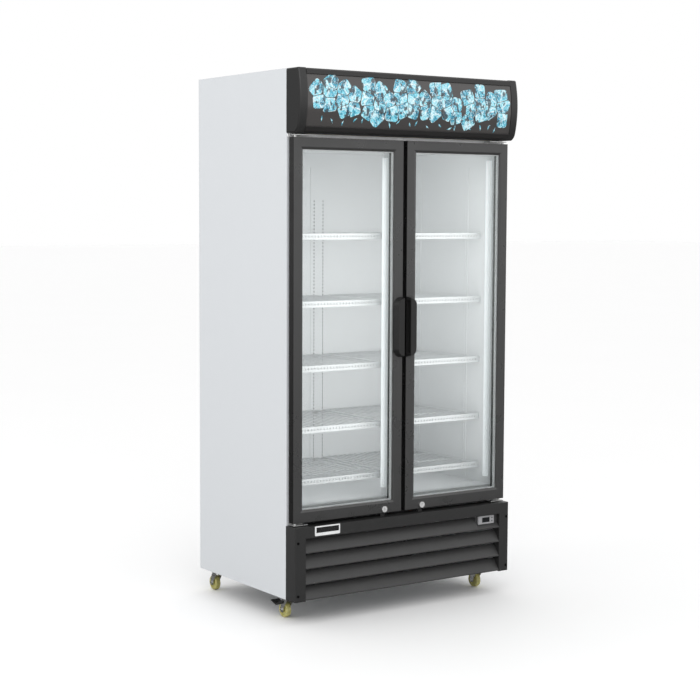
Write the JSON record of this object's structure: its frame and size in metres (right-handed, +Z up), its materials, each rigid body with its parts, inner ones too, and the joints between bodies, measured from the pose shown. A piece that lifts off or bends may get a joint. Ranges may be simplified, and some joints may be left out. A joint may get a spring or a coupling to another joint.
{
  "type": "glass door merchandiser",
  "caption": "Upright display cooler with swing glass doors, a curved light-box canopy, wire shelves, a louvred machine bay and casters.",
  "frame": {"origin": "on the floor, at the centre of the footprint", "axes": "+Z up, the doors face -Y, +X to the right of someone facing the doors"},
  "size_m": [1, 0.73, 2.01],
  "materials": {
    "cabinet_paint": "satin light grey powder coat",
    "galvanised_sheet": "galvanised sheet",
    "insulation_foam": "cut polyurethane foam",
    "liner_coating": "satin white coated sheet",
    "surround_plastic": "extruded white plastic",
    "canopy_plastic": "moulded black plastic, fine sheen",
    "canopy_sheet": "black powder coat",
    "sign_acrylic": "printed acrylic, glossy",
    "lamp_diffuser": "opal diffuser",
    "satin_aluminium": "satin anodised",
    "door_profile": "fine matt black coating",
    "clear_glass": "clear tempered glass",
    "door_rubber": "magnetic gasket, matt",
    "handle_plastic": "textured black plastic",
    "lock_chrome": "polished",
    "zinc_plate": "zinc plated",
    "kick_paint": "black powder coat, fine texture",
    "slat_paint": "dark grey powder coat, fine texture",
    "black_screw": "black zinc",
    "controller_plastic": "silver grey moulded bezel",
    "button_rubber": "moulded keys",
    "compressor_paint": "black enamel",
    "coil_metal": "aluminium fins, copper tube",
    "motor_steel": "stamped steel",
    "copper_pipe": "bare copper",
    "fan_plastic": "glass filled plastic",
    "pan_plastic": "grey moulded tray",
    "shelf_coating": "white dipped wire",
    "strip_plastic": "white punched strip",
    "wheel_tread": "olive translucent polyurethane",
    "lever_plastic": "black pedal"
  },
  "bodies": {
    "cabinet": {"side_panel_left": "cabinet_paint", "side_panel_right": "cabinet_paint", "back_panel": "galvanised_sheet", "top_panel": "cabinet_paint", "base_tray": "galvanised_sheet", "foam_insulation": "insulation_foam", "inner_liner": "liner_coating", "door_surround": "surround_plastic", "centre_mullion": "surround_plastic", "canopy_cap_left": "canopy_plastic", "canopy_cap_right": "canopy_plastic", "canopy_housing": "canopy_sheet", "sign_panel": "sign_acrylic", "sign_lamp": "lamp_diffuser", "trim_strip": "satin_aluminium", "hinge_brackets": "zinc_plate", "kick_frame": "kick_paint", "louvre_slats": "slat_paint", "panel_screws": "black_screw", "controller": "controller_plastic", "pilasters": "liner_coating", "shelf_clips": "zinc_plate", "left_shelves": "shelf_coating", "right_shelves": "shelf_coating", "price_strips": "strip_plastic", "interior_lamps": "lamp_diffuser", "compressor": "compressor_paint", "condenser_coil": "coil_metal", "fan_motors": "motor_steel", "drain_pan": "pan_plastic", "evaporator_coil": "coil_metal", "evaporator_cover": "liner_coating", "refrigerant_pipes": "copper_pipe", "caster_plates": "zinc_plate"},
    "left_door": {"left_door_frame": "door_profile", "left_glass_panes": "clear_glass", "left_glass_spacer": "satin_aluminium", "left_door_gasket": "door_rubber", "left_door_handle": "handle_plastic"},
    "left_lock": {"left_lock_plug": "lock_chrome"},
    "right_door": {"right_door_frame": "door_profile", "right_glass_panes": "clear_glass", "right_glass_spacer": "satin_aluminium", "right_door_gasket": "door_rubber", "right_door_handle": "handle_plastic"},
    "right_lock": {"right_lock_plug": "lock_chrome"},
    "condenser_fan": {"condenser_fan": "fan_plastic"},
    "evaporator_fan": {"evaporator_fan": "fan_plastic"},
    "controller_up_button": {"controller_up_button": "button_rubber"},
    "controller_down_button": {"controller_down_button": "button_rubber"},
    "caster_swivel_front_left": {"caster_fork_front_left": "zinc_plate"},
    "caster_wheel_front_left": {"caster_wheel_front_left": "wheel_tread"},
    "brake_lever_front_left": {"brake_lever_front_left": "lever_plastic"},
    "caster_swivel_front_right": {"caster_fork_front_right": "zinc_plate"},
    "caster_wheel_front_right": {"caster_wheel_front_right": "wheel_tread"},
    "brake_lever_front_right": {"brake_lever_front_right": "lever_plastic"},
    "caster_swivel_rear_left": {"caster_fork_rear_left": "zinc_plate"},
    "caster_wheel_rear_left": {"caster_wheel_rear_left": "wheel_tread"},
    "caster_swivel_rear_right": {"caster_fork_rear_right": "zinc_plate"},
    "caster_wheel_rear_right": {"caster_wheel_rear_right": "wheel_tread"}
  },
  "joints": [
    {"name": "left_door_hinge", "type": "hinge", "parent": "cabinet", "child": "left_door", "pos_m": [-0.478, -0.3, 1.07], "axis": [0, 0, -1], "range_deg": [0, 110], "stiffness_Nm_per_rad": 1.2, "springref_deg": -14.32},
    {"name": "right_door_hinge", "type": "hinge", "parent": "cabinet", "child": "right_door", "pos_m": [0.478, -0.3, 1.07], "axis": [0, 0, 1], "range_deg": [0, 110], "stiffness_Nm_per_rad": 1.2, "springref_deg": -14.32},
    {"name": "left_lock_turn", "type": "hinge", "parent": "left_door", "child": "left_lock", "pos_m": [-0.088, -0.306, 0.388], "axis": [0, -1, 0], "range_deg": [0, 90]},
    {"name": "right_lock_turn", "type": "hinge", "parent": "right_door", "child": "right_lock", "pos_m": [0.088, -0.306, 0.388], "axis": [0, 1, 0], "range_deg": [0, 90]},
    {"name": "condenser_fan_spin", "type": "hinge", "parent": "cabinet", "child": "condenser_fan", "pos_m": [-0.15, -0.165, 0.225], "axis": [0, 1, 0], "continuous": true},
    {"name": "evaporator_fan_spin", "type": "hinge", "parent": "cabinet", "child": "evaporator_fan", "pos_m": [0, -0.14, 1.785], "axis": [0, 0, 1], "continuous": true},
    {"name": "controller_up_button_press", "type": "slide", "parent": "cabinet", "child": "controller_up_button", "axis": [0, 1, 0], "range_m": [0, 0.0008], "stiffness_N_per_m": 400},
    {"name": "controller_down_button_press", "type": "slide", "parent": "cabinet", "child": "controller_down_button", "axis": [0, 1, 0], "range_m": [0, 0.0008], "stiffness_N_per_m": 400},
    {"name": "caster_swivel_front_left_turn", "type": "hinge", "parent": "cabinet", "child": "caster_swivel_front_left", "pos_m": [-0.45, -0.216, 0.078], "axis": [0, 0, 1], "continuous": true},
    {"name": "caster_wheel_front_left_roll", "type": "hinge", "parent": "caster_swivel_front_left", "child": "caster_wheel_front_left", "pos_m": [-0.45, -0.191, 0.029], "axis": [1, 0, 0], "continuous": true},
    {"name": "brake_lever_front_left_press", "type": "hinge", "parent": "caster_swivel_front_left", "child": "brake_lever_front_left", "pos_m": [-0.45, -0.198, 0.06], "axis": [-1, 0, 0], "range_deg": [0, 10]},
    {"name": "caster_swivel_front_right_turn", "type": "hinge", "parent": "cabinet", "child": "caster_swivel_front_right", "pos_m": [0.45, -0.216, 0.078], "axis": [0, 0, 1], "continuous": true},
    {"name": "caster_wheel_front_right_roll", "type": "hinge", "parent": "caster_swivel_front_right", "child": "caster_wheel_front_right", "pos_m": [0.45, -0.191, 0.029], "axis": [1, 0, 0], "continuous": true},
    {"name": "brake_lever_front_right_press", "type": "hinge", "parent": "caster_swivel_front_right", "child": "brake_lever_front_right", "pos_m": [0.45, -0.198, 0.06], "axis": [-1, 0, 0], "range_deg": [0, 10]},
    {"name": "caster_swivel_rear_left_turn", "type": "hinge", "parent": "cabinet", "child": "caster_swivel_rear_left", "pos_m": [-0.45, 0.31, 0.078], "axis": [0, 0, 1], "continuous": true},
    {"name": "caster_wheel_rear_left_roll", "type": "hinge", "parent": "caster_swivel_rear_left", "child": "caster_wheel_rear_left", "pos_m": [-0.45, 0.335, 0.029], "axis": [1, 0, 0], "continuous": true},
    {"name": "caster_swivel_rear_right_turn", "type": "hinge", "parent": "cabinet", "child": "caster_swivel_rear_right", "pos_m": [0.45, 0.31, 0.078], "axis": [0, 0, 1], "continuous": true},
    {"name": "caster_wheel_rear_right_roll", "type": "hinge", "parent": "caster_swivel_rear_right", "child": "caster_wheel_rear_right", "pos_m": [0.45, 0.335, 0.029], "axis": [1, 0, 0], "continuous": true}
  ]
}
